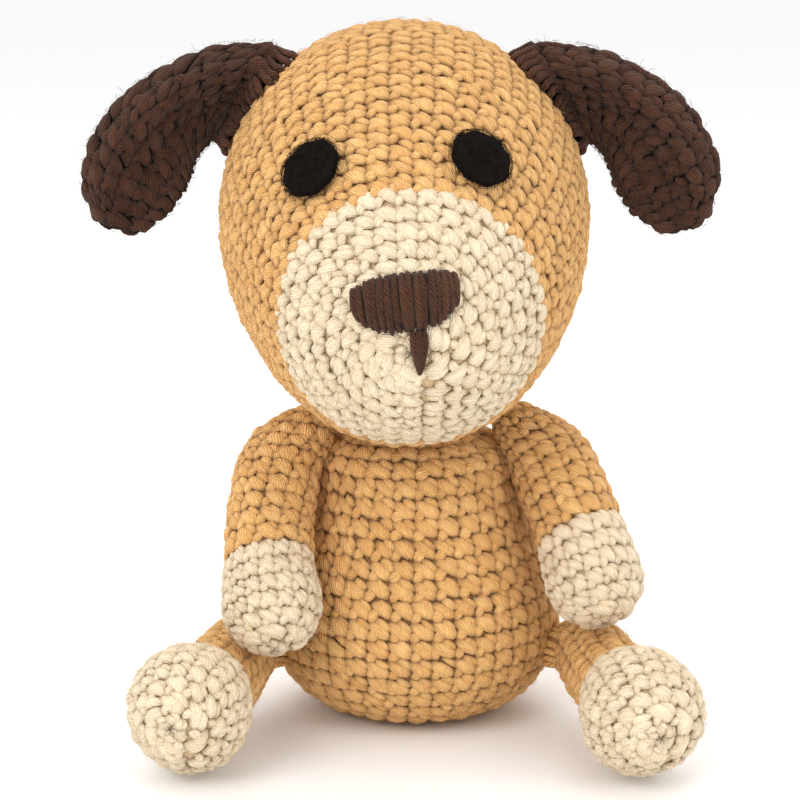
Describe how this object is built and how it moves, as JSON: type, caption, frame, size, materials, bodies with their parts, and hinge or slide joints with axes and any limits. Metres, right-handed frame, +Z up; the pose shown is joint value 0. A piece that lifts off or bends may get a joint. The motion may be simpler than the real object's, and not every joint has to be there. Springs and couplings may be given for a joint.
{
  "type": "crocheted toy dog",
  "caption": "Seated crocheted toy dog with a round head, pale muzzle, folded ears, felt eyes and sewn-on springy arms and legs.",
  "frame": {"origin": "middle of the flat seat under the body", "axes": "+Z up, -Y the way the dog looks, +X to the viewer's right"},
  "size_m": [0.142, 0.1049, 0.1591],
  "materials": {
    "tan_yarn": "matte",
    "cream_yarn": "matte",
    "brown_yarn": "matte",
    "black_felt": "matte",
    "fibre_filling": "matte"
  },
  "bodies": {
    "body": {"body_shell": "tan_yarn", "body_filling": "fibre_filling", "shoulder_seam_left": "tan_yarn", "hip_seam_left": "tan_yarn", "shoulder_seam_right": "tan_yarn", "hip_seam_right": "tan_yarn"},
    "neck": {"neck_seam": "tan_yarn"},
    "head": {"head_shell": "tan_yarn", "muzzle_shell": "cream_yarn", "head_filling": "fibre_filling", "nose_stitches": "brown_yarn", "mouth_stitch": "brown_yarn", "eye_felt_left": "black_felt", "ear_seam_left": "brown_yarn", "eye_felt_right": "black_felt", "ear_seam_right": "brown_yarn"},
    "ear_left": {"ear_left": "brown_yarn"},
    "arm_left": {"arm_sleeve_left": "tan_yarn", "arm_paw_left": "cream_yarn", "arm_filling_left": "fibre_filling"},
    "leg_left": {"leg_sleeve_left": "tan_yarn", "leg_foot_left": "cream_yarn", "leg_filling_left": "fibre_filling"},
    "ear_right": {"ear_right": "brown_yarn"},
    "arm_right": {"arm_sleeve_right": "tan_yarn", "arm_paw_right": "cream_yarn", "arm_filling_right": "fibre_filling"},
    "leg_right": {"leg_sleeve_right": "tan_yarn", "leg_foot_right": "cream_yarn", "leg_filling_right": "fibre_filling"}
  },
  "joints": [
    {"name": "head_turn", "type": "hinge", "parent": "body", "child": "neck", "pos_m": [0, 0, 0.07], "axis": [-0.0558, 0, 0.9984], "range_deg": [-20, 20], "stiffness_Nm_per_rad": 0.25},
    {"name": "head_nod", "type": "hinge", "parent": "neck", "child": "head", "pos_m": [0, 0, 0.07], "axis": [0.9984, 0, 0.0558], "range_deg": [-8, 8], "stiffness_Nm_per_rad": 0.5},
    {"name": "ear_left_flap", "type": "hinge", "parent": "head", "child": "ear_left", "pos_m": [-0.0392, -0.003, 0.1432], "axis": [0.5096, 0, 0.8604], "range_deg": [-15, 15], "stiffness_Nm_per_rad": 0.02},
    {"name": "ear_right_flap", "type": "hinge", "parent": "head", "child": "ear_right", "pos_m": [0.0328, -0.003, 0.1432], "axis": [0.5096, 0, -0.8604], "range_deg": [-15, 15], "stiffness_Nm_per_rad": 0.02},
    {"name": "arm_left_raise", "type": "hinge", "parent": "body", "child": "arm_left", "pos_m": [-0.0298, -0.007, 0.0615], "axis": [-1, 0, 0], "range_deg": [0, 45], "stiffness_Nm_per_rad": 0.02},
    {"name": "arm_right_raise", "type": "hinge", "parent": "body", "child": "arm_right", "pos_m": [0.0296, -0.0065, 0.062], "axis": [-1, 0, 0], "range_deg": [0, 45], "stiffness_Nm_per_rad": 0.02},
    {"name": "leg_left_splay", "type": "hinge", "parent": "body", "child": "leg_left", "pos_m": [-0.0403, -0.0148, 0.0166], "axis": [0, 0, -1], "range_deg": [0, 30], "stiffness_Nm_per_rad": 0.03},
    {"name": "leg_right_splay", "type": "hinge", "parent": "body", "child": "leg_right", "pos_m": [0.0403, -0.0148, 0.0166], "axis": [0, 0, 1], "range_deg": [0, 30], "stiffness_Nm_per_rad": 0.03}
  ]
}
